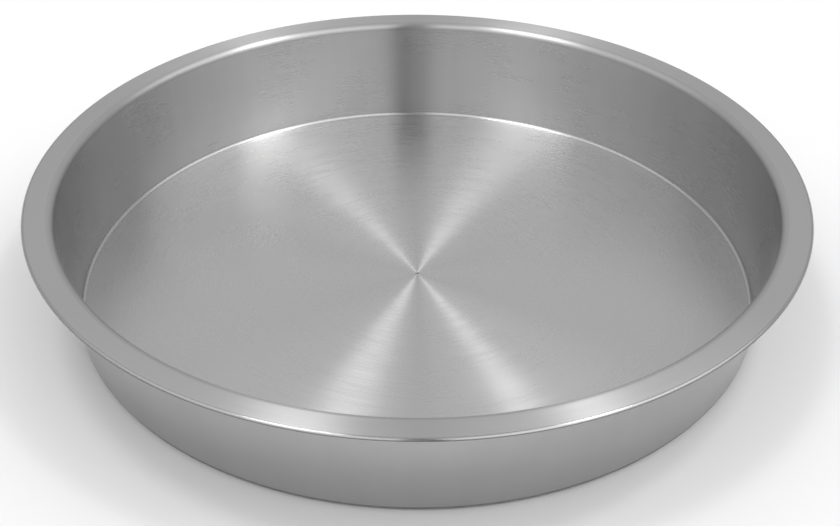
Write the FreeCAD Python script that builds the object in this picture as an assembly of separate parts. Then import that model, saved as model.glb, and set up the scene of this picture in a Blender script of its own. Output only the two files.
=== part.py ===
"""A round food pan, the insert of a 6 litre chafing dish, pressed and spun from one stainless steel blank.

Its frame: +Z up, the origin on the axis at the underside of the base, millimetres. The sheet is one piece.
It runs out from the axis as a flat base, turns up through a tight corner into a tapered wall, and turns out
through a wider bend into a flat rim. The rim's edge is turned part of the way down and rounded off, so that
it doesn't cut a hand.
"""

import FreeCAD
import Part

import math
import os

# Driving dimensions, in millimetres and degrees.
RIM_DIAMETER = 394.0  # outermost, over the turned edge
HEIGHT = 60.0  # underside of the base to the top of the rim
SHEET = 0.8  # thickness of the stainless steel, the same everywhere
BASE_DIAMETER = 352.3  # where the wall's outside, carried straight down, would meet the table
WALL_TAPER = 6.2  # lean of the wall from upright, opening upwards
BASE_BEND = 3.0  # outside radius of the corner between base and wall
RIM_BEND = 4.0  # top radius of the bend between wall and rim
EDGE_BEND = 1.6  # top radius of the turned edge
EDGE_TURN = 60.0  # how far the edge is turned down from level
MARK_RADIUS = 1.0  # of the round mark that the lathe's centre leaves in the middle of the floor
MARK_DEPTH = 0.12  # of that mark, below the floor

FULL_TURN = 360.0
AXIS = FreeCAD.Vector(0, 0, 1)
ORIGIN = FreeCAD.Vector(0, 0, 0)


def point(radius, height):
    """A point of the section, which is drawn in the half plane Y = 0, X > 0."""
    return FreeCAD.Vector(radius, 0, height)


class Bend:
    """A bend of the sheet round a centre, from one angle to another, with a radius for each face."""

    def __init__(self, centre_radius, centre_height, start, end, top_radius, under_radius):
        self.centre_radius = centre_radius
        self.centre_height = centre_height
        self.start = start
        self.end = end
        self.top_radius = top_radius
        self.under_radius = under_radius

    def at(self, radius, angle):
        """The point at that radius from the centre, at that angle in degrees above level."""
        turn = math.radians(angle)
        return point(
            self.centre_radius + radius * math.cos(turn),
            self.centre_height + radius * math.sin(turn),
        )

    def arc(self, radius):
        """The whole bend at that radius, as an arc."""
        middle = (self.start + self.end) / 2
        points = [self.at(radius, angle) for angle in (self.start, middle, self.end)]
        return Part.Arc(*points).toShape()


def outside_radius(height):
    """The radius of the wall's outside at a height, with the wall carried straight on past its bends."""
    return BASE_DIAMETER / 2 + height * math.tan(math.radians(WALL_TAPER))


def base_bend():
    """The corner between base and wall, with its centre inside the pan."""
    centre_radius = outside_radius(BASE_BEND) - BASE_BEND / math.cos(math.radians(WALL_TAPER))
    return Bend(centre_radius, BASE_BEND, -90.0, -WALL_TAPER, BASE_BEND - SHEET, BASE_BEND)


def rim_bend():
    """The bend between wall and rim, with its centre outside the pan and under the rim."""
    centre_height = HEIGHT - RIM_BEND
    under_radius = RIM_BEND - SHEET
    centre_radius = outside_radius(centre_height) + under_radius / math.cos(math.radians(WALL_TAPER))
    return Bend(centre_radius, centre_height, 180.0 - WALL_TAPER, 90.0, RIM_BEND, under_radius)


def edge_bend():
    """The turned edge of the rim, up to the half round nose that closes the sheet."""
    end = 90.0 - EDGE_TURN
    nose_radius = SHEET / 2
    reach = (EDGE_BEND - nose_radius) * math.cos(math.radians(end)) + nose_radius
    return Bend(RIM_DIAMETER / 2 - reach, HEIGHT - EDGE_BEND, 90.0, end, EDGE_BEND, EDGE_BEND - SHEET)


def nose(edge):
    """The half round at the sheet's edge, from its top face to its under face."""
    ahead = math.radians(edge.end - 90.0)
    tip = edge.at(EDGE_BEND - SHEET / 2, edge.end) + point(math.cos(ahead), math.sin(ahead)) * (SHEET / 2)
    return Part.Arc(edge.at(edge.top_radius, edge.end), tip, edge.at(edge.under_radius, edge.end)).toShape()


def centre_mark():
    """The shallow round mark in the middle of the floor, from the axis to the mark's edge."""
    ball_radius = (MARK_RADIUS ** 2 + MARK_DEPTH ** 2) / (2 * MARK_DEPTH)
    halfway = MARK_RADIUS / 2
    rise = ball_radius - math.sqrt(ball_radius ** 2 - halfway ** 2)
    bottom = SHEET - MARK_DEPTH
    return Part.Arc(point(0, bottom), point(halfway, bottom + rise), point(MARK_RADIUS, SHEET)).toShape()


def section(base, rim, edge):
    """The sheet's section as a face: out from the axis along the top, and back along the under face."""
    edges = [
        centre_mark(),
        Part.makeLine(point(MARK_RADIUS, SHEET), base.at(base.top_radius, base.start)),
        base.arc(base.top_radius),
        Part.makeLine(base.at(base.top_radius, base.end), rim.at(rim.top_radius, rim.start)),
        rim.arc(rim.top_radius),
        Part.makeLine(rim.at(rim.top_radius, rim.end), edge.at(edge.top_radius, edge.start)),
        edge.arc(edge.top_radius),
        nose(edge),
        edge.arc(edge.under_radius),
        Part.makeLine(edge.at(edge.under_radius, edge.start), rim.at(rim.under_radius, rim.end)),
        rim.arc(rim.under_radius),
        Part.makeLine(rim.at(rim.under_radius, rim.start), base.at(base.under_radius, base.end)),
        base.arc(base.under_radius),
        Part.makeLine(base.at(base.under_radius, base.start), point(0, 0)),
        Part.makeLine(point(0, 0), point(0, SHEET - MARK_DEPTH)),
    ]
    return Part.Face(Part.Wire(edges))


def pan(base, rim, edge):
    """The whole pan: the section turned about the axis."""
    return section(base, rim, edge).revolve(ORIGIN, AXIS, FULL_TURN)


def main():
    base = base_bend()
    rim = rim_bend()
    edge = edge_bend()
    shape = pan(base, rim, edge)
    os.makedirs("parts", exist_ok=True)
    shape.exportStep("parts/pan.step")
    print("pan:", shape.ShapeType, "valid", shape.isValid(), "volume", round(shape.Volume, 1))
    print("the floor is flat out to radius", round(base.centre_radius, 2))
    print("the rim is flat from radius", round(rim.centre_radius, 2), "to", round(edge.centre_radius, 2))


main()
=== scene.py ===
"""A round food pan of brushed stainless steel on a pale studio floor, lit by soft light from both sides.

The pan is one sheet, so it is one piece here too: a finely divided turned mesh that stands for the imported
node. Lengths are metres and angles are degrees, unless a comment says otherwise.
"""

import bpy
import math
from mathutils import Matrix, Vector


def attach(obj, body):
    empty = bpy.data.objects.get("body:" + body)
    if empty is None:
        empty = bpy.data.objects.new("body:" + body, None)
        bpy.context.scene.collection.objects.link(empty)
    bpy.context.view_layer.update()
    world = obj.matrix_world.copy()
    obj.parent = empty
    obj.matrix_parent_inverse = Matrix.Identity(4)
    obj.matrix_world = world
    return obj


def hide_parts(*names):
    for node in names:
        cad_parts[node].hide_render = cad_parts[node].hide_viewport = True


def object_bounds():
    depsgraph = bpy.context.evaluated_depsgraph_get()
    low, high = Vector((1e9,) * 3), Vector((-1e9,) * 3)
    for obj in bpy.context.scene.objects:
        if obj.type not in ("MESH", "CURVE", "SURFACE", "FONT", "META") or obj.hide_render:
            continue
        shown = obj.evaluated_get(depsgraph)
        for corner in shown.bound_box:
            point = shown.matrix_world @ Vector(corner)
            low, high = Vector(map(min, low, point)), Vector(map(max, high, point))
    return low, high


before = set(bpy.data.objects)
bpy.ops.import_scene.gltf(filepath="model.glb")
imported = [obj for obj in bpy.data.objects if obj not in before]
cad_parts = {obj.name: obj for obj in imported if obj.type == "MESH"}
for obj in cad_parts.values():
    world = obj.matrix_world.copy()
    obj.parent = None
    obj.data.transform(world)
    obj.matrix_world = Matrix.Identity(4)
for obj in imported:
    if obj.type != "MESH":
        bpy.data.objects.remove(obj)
cad_low, cad_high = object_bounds()

# The pan's section. The frame gives its width and height, and the rest repeats the CAD model's bends.
RIM_RADIUS = (cad_high.x - cad_low.x) / 2
HEIGHT = cad_high.z - cad_low.z
SHEET = 0.0008  # thickness
BASE_RADIUS = 0.17615  # where the wall's outside, carried straight down, would meet the table
WALL_TAPER = 6.2  # lean of the wall from upright
BASE_BEND = 0.003  # outside radius of the corner between base and wall
RIM_BEND = 0.004  # top radius of the bend between wall and rim
EDGE_BEND = 0.0016  # top radius of the turned edge
EDGE_TURN = 60.0  # how far the edge is turned down from level
MARK_RADIUS = 0.001  # of the round mark in the middle of the floor
MARK_DEPTH = 0.00012
AROUND = 600  # steps of the mesh round the axis

# The steel's finish in each region of the sheet. Tone is the base colour's grey, and across is the
# roughness across the grain. The rest are the amounts of each kind of unevenness, in full where a kind
# isn't named. Some regions' tones also hold painted shade, as noted beside them.
FINISHES = {
    "mark": {"tone": 0.30, "across": 0.45, "grain": 0.5, "streak": 0.0, "ripple": 0.0, "scuff": 0.0},
    "floor": {"tone": 0.57, "across": 0.28, "grain": 0.6, "streak": 0.0, "ripple": 1.0, "scuff": 0.1},
    "corner": {"tone": 0.50, "across": 0.26, "grain": 0.6, "streak": 0.3, "ripple": 0.5, "scuff": 0.05},
    "wall": {"tone": 0.53, "across": 0.28, "grain": 0.35, "streak": 1.0, "ripple": 0.8, "scuff": 0.02},
    "lip": {"tone": 0.46, "across": 0.30, "grain": 0.4, "streak": 0.5, "ripple": 0.5, "scuff": 0.05},
    "rim": {"tone": 0.51, "across": 0.32, "grain": 0.6, "streak": 0.0, "ripple": 0.6, "scuff": 0.1},
    "edge": {"tone": 0.41, "across": 0.23, "grain": 0.4, "streak": 0.2, "ripple": 0.3, "scuff": 0.2},
    # The nose's low tone is partly its dull cut edge and partly painted shade, a dark line along the
    # underside of the turned edge.
    "nose": {"tone": 0.20, "across": 0.40, "grain": 0.4, "streak": 0.4, "ripple": 0.0, "scuff": 0.1},
    "outside": {"tone": 0.45, "across": 0.16, "grain": 0.4, "streak": 1.0, "ripple": 0.8, "scuff": 0.1},
    # The base corner's low tone is painted shade: a dark line where the corner reflects the floor in the
    # pan's own shadow.
    "foot_painted_shade": {"tone": 0.28, "across": 0.34, "grain": 0.4, "streak": 0.6, "ripple": 0.3, "scuff": 0.3},
    "base": {"tone": 0.42, "across": 0.36, "grain": 1.0, "streak": 0.0, "ripple": 1.0, "scuff": 0.5},
}
REGIONS = list(FINISHES)
ALONG_GRAIN = 1.0  # how much smoother the steel is along the grain, from 0 to 1
GRAIN_ROUND_THE_AXIS = 0.25  # of a turn from the tangent

# The kinds of unevenness. Roughness and tone are the shares by which a full step of the pattern shifts
# them, and height is the relief of a full step in metres.
UNEVENNESS = {
    "grain": {"roughness": 0.28, "tone": 0.075, "height": 0.000003},
    "streak": {"roughness": 0.0, "tone": 0.07, "height": 0.00001},
    "patch": {"roughness": 0.16, "tone": 0.05, "height": 0.0},
    "ripple": {"roughness": 0.0, "tone": 0.0, "height": 0.0004},
    "scuff": {"roughness": 0.25, "tone": -0.06, "height": 0.0},
}
BANDS_IN_GRAIN = 0.7  # strength of the grain's wide bands beside its fine lines

# The studio's room, by direction. A bearing is to the right of the front, which is -Y, and a reach is how
# far something goes to either side of its bearing. Low and high are elevations. A soft or edge value is how
# far a border fades both ways: soft at the sides, and edge at the top and bottom.
ROOM_LEVEL = 0.582  # brightness everywhere
BAND_LEVEL = 1.1  # more brightness in a band round the front
BAND_LEAN = 0.529  # share by which the band is brighter at the right and darker at the left
BAND_BEARING = 0.0
BAND_REACH = 119.0
BAND_SOFT = 5.0
BAND_LOW = 33.0
BAND_HIGH = 76.0
BAND_EDGE = 4.0
BACK_LEVEL = 0.147  # more brightness in the upper part of the back
BACK_LOW = 22.0
BACK_EDGE = 8.0

# Where the photographer stands: a narrow black gap, and above it a wider one that isn't quite as dark.
GAP_BEARING = 6.0
GAP_REACH = 2.6
GAP_HIGH = 38.0
HEAD_BEARING = 2.0
HEAD_REACH = 7.0
HEAD_LOW = 33.0
HEAD_HIGH = 80.0
HEAD_DIM = 0.85  # share of the light that is missing
GAP_SOFT = 2.5  # of both
GAP_EDGE = 6.0  # of both

# The soft lights. A box's values are its azimuth from +X, elevation, angular radius and brightness.
LEFT_BOX = (-190.6, 74.4, 6.6, 10.9)
RIGHT_BOX = (8.7, 66.7, 4.6, 17.8)
LIGHT_DISTANCE = 3.0

# The floor.
FLOOR_TONE = 0.78
FLOOR_ROUGHNESS = 0.9
FLOOR_REACH = 30.0
FLOOR_GAP = 0.0002  # between the floor and the pan's base

# The camera. It looks at the middle of the rim, but for small turns.
CAMERA_DISTANCE = 3.6192  # from the middle of the rim, in radii of the rim
CAMERA_ELEVATION = 31.43
CAMERA_PITCH = 3.46  # turned down from the middle of the rim
CAMERA_YAW = 0.132  # turned to the right of it
CAMERA_ROLL = 0.343
SENSOR_WIDTH = 36.0  # millimetres
FOCAL_LENGTH = 59.85  # millimetres


class Bend:
    """A bend of the sheet round a centre, from one angle above level to another."""

    def __init__(self, centre_radius, centre_height, start, end):
        self.centre = (centre_radius, centre_height)
        self.start = start
        self.end = end

    def arc(self, radius, steps, back=False):
        """Points (radius, height) of the section along the bend, forwards or back."""
        points = []
        for step in range(steps + 1):
            share = step / steps
            turn = math.radians(self.start + (self.end - self.start) * share)
            across = self.centre[0] + radius * math.cos(turn)
            height = self.centre[1] + radius * math.sin(turn)
            points.append((across, height))
        return points[::-1] if back else points


def outside_radius(height):
    """The radius of the wall's outside at a height, with the wall carried straight on past its bends."""
    return BASE_RADIUS + height * math.tan(math.radians(WALL_TAPER))


def straight(first, last, steps):
    """The points of a straight run of the section, without the two that it runs between."""
    return [
        tuple(a + (b - a) * step / steps for a, b in zip(first, last)) for step in range(1, steps)
    ]


def centre_mark():
    """The shallow round mark that the lathe's centre leaves in the floor, from the axis outwards."""
    ball = (MARK_RADIUS ** 2 + MARK_DEPTH ** 2) / (2 * MARK_DEPTH)
    spread = 90.0 - math.degrees(math.acos(MARK_RADIUS / ball))
    return Bend(0.0, SHEET - MARK_DEPTH + ball, -90.0, spread - 90.0).arc(ball, steps=5)


def section():
    """The section out from the axis along the top face and back along the under face, with its regions."""
    lean = math.cos(math.radians(WALL_TAPER))
    base = Bend(outside_radius(BASE_BEND) - BASE_BEND / lean, BASE_BEND, -90.0, -WALL_TAPER)
    rim_height = HEIGHT - RIM_BEND
    rim = Bend(outside_radius(rim_height) + (RIM_BEND - SHEET) / lean, rim_height, 180.0 - WALL_TAPER, 90.0)
    nose_radius = SHEET / 2
    end = 90.0 - EDGE_TURN
    reach = (EDGE_BEND - nose_radius) * math.cos(math.radians(end)) + nose_radius
    edge = Bend(RIM_RADIUS - reach, HEIGHT - EDGE_BEND, 90.0, end)
    middle = edge.arc(EDGE_BEND - nose_radius, steps=1)[-1]
    nose = Bend(*middle, end, end - 180.0)

    mark = centre_mark()
    top_base = base.arc(BASE_BEND - SHEET, steps=10)
    top_rim = rim.arc(RIM_BEND, steps=14)
    top_edge = edge.arc(EDGE_BEND, steps=8)
    under_edge = edge.arc(EDGE_BEND - SHEET, steps=6, back=True)
    under_rim = rim.arc(RIM_BEND - SHEET, steps=10, back=True)
    under_base = base.arc(BASE_BEND, steps=12, back=True)
    axis_under = (0.0, 0.0)
    runs = [
        ("mark", mark[:-1]),
        ("floor", mark[-1:] + straight(mark[-1], top_base[0], steps=24)),
        ("corner", top_base[:-1]),
        ("wall", top_base[-1:] + straight(top_base[-1], top_rim[0], steps=8)),
        ("lip", top_rim[:-1]),
        ("rim", top_rim[-1:] + straight(top_rim[-1], top_edge[0], steps=4)),
        ("edge", top_edge[:-1]),
        # The sheet's cut end, whose low tone is partly painted shade.
        ("nose", top_edge[-1:] + nose.arc(nose_radius, steps=8)[1:-1]),
        ("outside", under_edge + straight(under_edge[-1], under_rim[0], steps=4) + under_rim),
        ("outside", straight(under_rim[-1], under_base[0], steps=8)),
        # The base corner, whose darker tone is painted shade.
        ("foot_painted_shade", under_base[:-1]),
        ("base", under_base[-1:] + straight(under_base[-1], axis_under, steps=24) + [axis_under]),
    ]
    points, regions = [], []
    for region, run in runs:
        points += run
        regions += [region] * len(run)
    return points, regions


def turned_pan():
    """The pan's mesh, turned about +Z, with one material slot for each region of the sheet."""
    points, regions = section()
    rows = points[1:-1]
    vertices = [(0.0, 0.0, points[0][1]), (0.0, 0.0, points[-1][1])]
    for radius, height in rows:
        for step in range(AROUND):
            turn = math.tau * step / AROUND
            vertices.append((radius * math.cos(turn), radius * math.sin(turn), height))
    faces, slots = [], []
    last = 2 + (len(rows) - 1) * AROUND
    for step in range(AROUND):
        after = (step + 1) % AROUND
        faces.append((0, 2 + step, 2 + after))
        slots.append(REGIONS.index(regions[0]))
        for row in range(len(rows) - 1):
            low = 2 + row * AROUND
            high = low + AROUND
            faces.append((low + step, high + step, high + after, low + after))
            slots.append(REGIONS.index(regions[row + 1]))
        faces.append((last + step, 1, last + after))
        slots.append(REGIONS.index(regions[-1]))
    mesh = bpy.data.meshes.new("spun_pan")
    mesh.from_pydata(vertices, [], faces)
    mesh.polygons.foreach_set("material_index", slots)
    mesh.polygons.foreach_set("use_smooth", [True] * len(faces))
    mesh.update()
    pan = bpy.data.objects.new("spun_pan", mesh)
    bpy.context.scene.collection.objects.link(pan)
    return pan


class Nodes:
    """Short calls that add nodes to one tree and wire them up."""

    def __init__(self, tree):
        self.tree = tree

    def add(self, kind, **settings):
        """A new node with those settings."""
        node = self.tree.nodes.new(kind)
        for name, value in settings.items():
            setattr(node, name, value)
        return node

    def feed(self, socket, value):
        """Links a socket to another node's output, or sets it to a number or a vector."""
        if isinstance(value, bpy.types.NodeSocket):
            self.tree.links.new(value, socket)
        else:
            socket.default_value = value

    def maths(self, operation, *values):
        """The result of a maths node on two or three values."""
        node = self.add("ShaderNodeMath", operation=operation)
        for socket, value in zip(node.inputs, values):
            self.feed(socket, value)
        return node.outputs["Value"]

    def step(self, value, low, high):
        """0 below the low edge and 1 above the high one, with a smooth rise between them."""
        node = self.add("ShaderNodeMapRange", interpolation_type="SMOOTHSTEP")
        self.feed(node.inputs["Value"], value)
        self.feed(node.inputs["From Min"], low)
        self.feed(node.inputs["From Max"], high)
        return node.outputs["Result"]

    def noise(self, place, scale=1.0, detail=2.0):
        """Smooth noise about 0, mostly within half each way, at a place."""
        node = self.add("ShaderNodeTexNoise", noise_dimensions="3D")
        self.feed(node.inputs["Vector"], place)
        self.feed(node.inputs["Scale"], scale)
        self.feed(node.inputs["Detail"], detail)
        return self.maths("SUBTRACT", node.outputs["Fac"], 0.5)

    def vector(self, x, y, z):
        """A vector of three values."""
        node = self.add("ShaderNodeCombineXYZ")
        for socket, value in zip(node.inputs, (x, y, z)):
            self.feed(socket, value)
        return node.outputs["Vector"]


class Sheet(Nodes):
    """Nodes that know a point's bearing from the axis and its run along the sheet's section."""

    def __init__(self, tree):
        super().__init__(tree)
        place = self.add("ShaderNodeTexCoord").outputs["Object"]
        split = self.add("ShaderNodeSeparateXYZ")
        self.feed(split.inputs["Vector"], place)
        across, deep, height = split.outputs
        squares = self.maths("MULTIPLY_ADD", across, across, self.maths("MULTIPLY", deep, deep))
        radius = self.maths("SQRT", squares)
        self.place = place
        self.cosine = self.maths("DIVIDE", across, radius)
        self.sine = self.maths("DIVIDE", deep, radius)
        self.run = self.maths("ADD", radius, height)
        self.patterns = self.all_patterns()

    def lines(self, around, apart, detail=2.0):
        """Noise drawn out round the axis, with so many features to a radian and so far apart."""
        cosine = self.maths("MULTIPLY", self.cosine, around)
        sine = self.maths("MULTIPLY", self.sine, around)
        place = self.vector(cosine, sine, self.maths("DIVIDE", self.run, apart))
        return self.noise(place, detail=detail)

    def all_patterns(self):
        """The pattern of each kind of unevenness, each about 0 and mostly within half a step of it."""
        grain_lines = self.lines(around=5.0, apart=0.0013, detail=1.0)
        grain_bands = self.lines(around=2.0, apart=0.005)
        patch = self.noise(self.place, scale=28.0)
        scratches = self.step(self.lines(around=9.0, apart=0.0013, detail=1.0), low=0.14, high=0.26)
        return {
            "grain": self.maths("MULTIPLY_ADD", grain_bands, BANDS_IN_GRAIN, grain_lines),
            "streak": self.lines(around=22.0, apart=0.08),
            "patch": patch,
            "ripple": self.noise(self.place, scale=16.0, detail=1.0),
            "scuff": self.maths("MULTIPLY", scratches, self.step(patch, low=-0.06, high=0.16)),
        }

    def unevenness(self, amounts, effect):
        """The sum of the patterns' effects on roughness, tone or height, for a region's amounts of each."""
        total = 0.0
        for kind, pattern in self.patterns.items():
            strength = UNEVENNESS[kind][effect] * amounts.get(kind, 1.0)
            if strength:
                total = self.maths("MULTIPLY_ADD", pattern, strength, total)
        return total


def spun_steel(region, tone, across, **amounts):
    """Stainless steel with a fine grain that runs round the pan's axis."""
    material = bpy.data.materials.new("steel_" + region)
    material.use_nodes = True
    shader = material.node_tree.nodes["Principled BSDF"]
    sheet = Sheet(material.node_tree)
    shade = sheet.maths("MULTIPLY_ADD", sheet.unevenness(amounts, "tone"), tone, tone)
    roughness = sheet.maths("MULTIPLY_ADD", sheet.unevenness(amounts, "roughness"), across, across)
    bump = sheet.add("ShaderNodeBump")
    sheet.feed(bump.inputs["Distance"], 1.0)
    sheet.feed(bump.inputs["Height"], sheet.unevenness(amounts, "height"))
    tangent = sheet.add("ShaderNodeTangent", direction_type="RADIAL", axis="Z")
    sheet.feed(shader.inputs["Base Color"], shade)
    sheet.feed(shader.inputs["Metallic"], 1.0)
    sheet.feed(shader.inputs["Roughness"], roughness)
    sheet.feed(shader.inputs["Anisotropic"], ALONG_GRAIN)
    sheet.feed(shader.inputs["Anisotropic Rotation"], GRAIN_ROUND_THE_AXIS)
    sheet.feed(shader.inputs["Tangent"], tangent.outputs["Tangent"])
    sheet.feed(shader.inputs["Normal"], bump.outputs["Normal"])
    return material


def pale_floor():
    """A large pale studio floor under the pan."""
    mesh = bpy.data.meshes.new("studio_floor")
    corners = [(-1, -1), (1, -1), (1, 1), (-1, 1)]
    places = [(x * FLOOR_REACH, y * FLOOR_REACH, -FLOOR_GAP) for x, y in corners]
    mesh.from_pydata(places, [], [(0, 1, 2, 3)])
    floor = bpy.data.objects.new("studio_floor", mesh)
    bpy.context.scene.collection.objects.link(floor)
    material = bpy.data.materials.new("pale_floor")
    material.use_nodes = True
    shader = material.node_tree.nodes["Principled BSDF"]
    shader.inputs["Base Color"].default_value = (FLOOR_TONE, FLOOR_TONE, FLOOR_TONE, 1.0)
    shader.inputs["Roughness"].default_value = FLOOR_ROUGHNESS
    mesh.materials.append(material)


def camera():
    """The camera at the photograph's viewing angle, above the pan's -Y side."""
    distance = CAMERA_DISTANCE * RIM_RADIUS
    elevation = math.radians(CAMERA_ELEVATION)
    down = elevation + math.radians(CAMERA_PITCH)
    yaw = math.radians(CAMERA_YAW)
    roll = math.radians(CAMERA_ROLL)
    place = Vector((0.0, -distance * math.cos(elevation), HEIGHT + distance * math.sin(elevation)))
    ahead = Vector((math.sin(yaw) * math.cos(down), math.cos(yaw) * math.cos(down), -math.sin(down)))
    right = ahead.cross(Vector((0, 0, 1))).normalized()
    above = right.cross(ahead)
    turned_right = right * math.cos(roll) + above * math.sin(roll)
    turned_above = above * math.cos(roll) - right * math.sin(roll)
    data = bpy.data.cameras.new("camera")
    data.sensor_width = SENSOR_WIDTH
    data.lens = FOCAL_LENGTH
    eye = bpy.data.objects.new("camera", data)
    eye.matrix_world = Matrix((
        (turned_right.x, turned_above.x, -ahead.x, place.x),
        (turned_right.y, turned_above.y, -ahead.y, place.y),
        (turned_right.z, turned_above.z, -ahead.z, place.z),
        (0, 0, 0, 1),
    ))
    bpy.context.scene.collection.objects.link(eye)
    bpy.context.scene.camera = eye


def soft_box(name, azimuth, elevation, spread, brightness):
    """A round soft light far from the pan. Spread is its angular radius as the pan sees it."""
    turn = math.radians(azimuth)
    lift = math.radians(elevation)
    towards = Vector((math.cos(turn) * math.cos(lift), math.sin(turn) * math.cos(lift), math.sin(lift)))
    radius = LIGHT_DISTANCE * math.tan(math.radians(spread))
    area = math.pi * radius ** 2
    data = bpy.data.lights.new(name, "AREA")
    data.shape = "DISK"
    data.size = 2 * radius
    data.energy = brightness * math.pi * area
    light = bpy.data.objects.new(name, data)
    light.location = towards * LIGHT_DISTANCE
    light.rotation_euler = (-towards).to_track_quat("-Z", "Y").to_euler()
    light.visible_camera = False
    bpy.context.scene.collection.objects.link(light)


class Studio(Nodes):
    """Nodes that know a direction's elevation, and its bearing to the right of the front, in degrees."""

    def __init__(self, tree):
        super().__init__(tree)
        split = self.add("ShaderNodeSeparateXYZ")
        self.feed(split.inputs["Vector"], self.add("ShaderNodeTexCoord").outputs["Generated"])
        front = self.maths("MULTIPLY", split.outputs["Y"], -1.0)
        self.right = split.outputs["X"]
        self.elevation = self.maths("DEGREES", self.maths("ARCSINE", split.outputs["Z"]))
        self.bearing = self.maths("DEGREES", self.maths("ARCTAN2", split.outputs["X"], front))

    def aside(self, bearing):
        """How far a direction is to either side of a bearing near the front."""
        return self.maths("ABSOLUTE", self.maths("SUBTRACT", self.bearing, bearing))

    def above(self, value, edge, soft):
        """1 where a value is above an edge that is soft by so many degrees each way, and 0 below it."""
        return self.step(value, edge - soft, edge + soft)

    def below(self, value, edge, soft):
        """1 where a value is below a soft edge, and 0 above it."""
        return self.maths("SUBTRACT", 1.0, self.above(value, edge, soft))

    def both(self, first, second):
        """The product of two shares."""
        return self.maths("MULTIPLY", first, second)

    def between(self, value, low, high, soft):
        """1 where a value is between two soft edges, and 0 outside them."""
        return self.both(self.above(value, low, soft), self.below(value, high, soft))


def surroundings():
    """A pale room with a bright band round its front half, broken where the photographer stands."""
    world = bpy.data.worlds.new("studio")
    world.use_nodes = True
    studio = Studio(world.node_tree)
    front = studio.below(studio.aside(BAND_BEARING), BAND_REACH, BAND_SOFT)
    back = studio.maths("SUBTRACT", 1.0, front)
    band = studio.both(studio.between(studio.elevation, BAND_LOW, BAND_HIGH, BAND_EDGE), front)
    band = studio.both(band, studio.maths("MULTIPLY_ADD", studio.right, BAND_LEAN, 1.0))
    backdrop = studio.both(studio.above(studio.elevation, BACK_LOW, BACK_EDGE), back)
    level = studio.maths("MULTIPLY_ADD", band, BAND_LEVEL, ROOM_LEVEL)
    level = studio.maths("MULTIPLY_ADD", backdrop, BACK_LEVEL, level)
    gap = studio.below(studio.aside(GAP_BEARING), GAP_REACH, GAP_SOFT)
    gap = studio.both(gap, studio.below(studio.elevation, GAP_HIGH, GAP_EDGE))
    head = studio.below(studio.aside(HEAD_BEARING), HEAD_REACH, GAP_SOFT)
    head = studio.both(head, studio.between(studio.elevation, HEAD_LOW, HEAD_HIGH, GAP_EDGE))
    dark = studio.maths("MAXIMUM", gap, studio.both(head, HEAD_DIM))
    background = world.node_tree.nodes["Background"]
    studio.feed(background.inputs["Strength"], studio.both(level, studio.maths("SUBTRACT", 1.0, dark)))
    background.inputs["Color"].default_value = (1.0, 1.0, 1.0, 1.0)
    bpy.context.scene.world = world


pan = turned_pan()
for region, finish in FINISHES.items():
    pan.data.materials.append(spun_steel(region, **finish))
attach(pan, "root")
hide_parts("pan")
pale_floor()
camera()
surroundings()
soft_box("left_box", *LEFT_BOX)
soft_box("right_box", *RIGHT_BOX)
bpy.context.scene.view_settings.view_transform = "Standard"
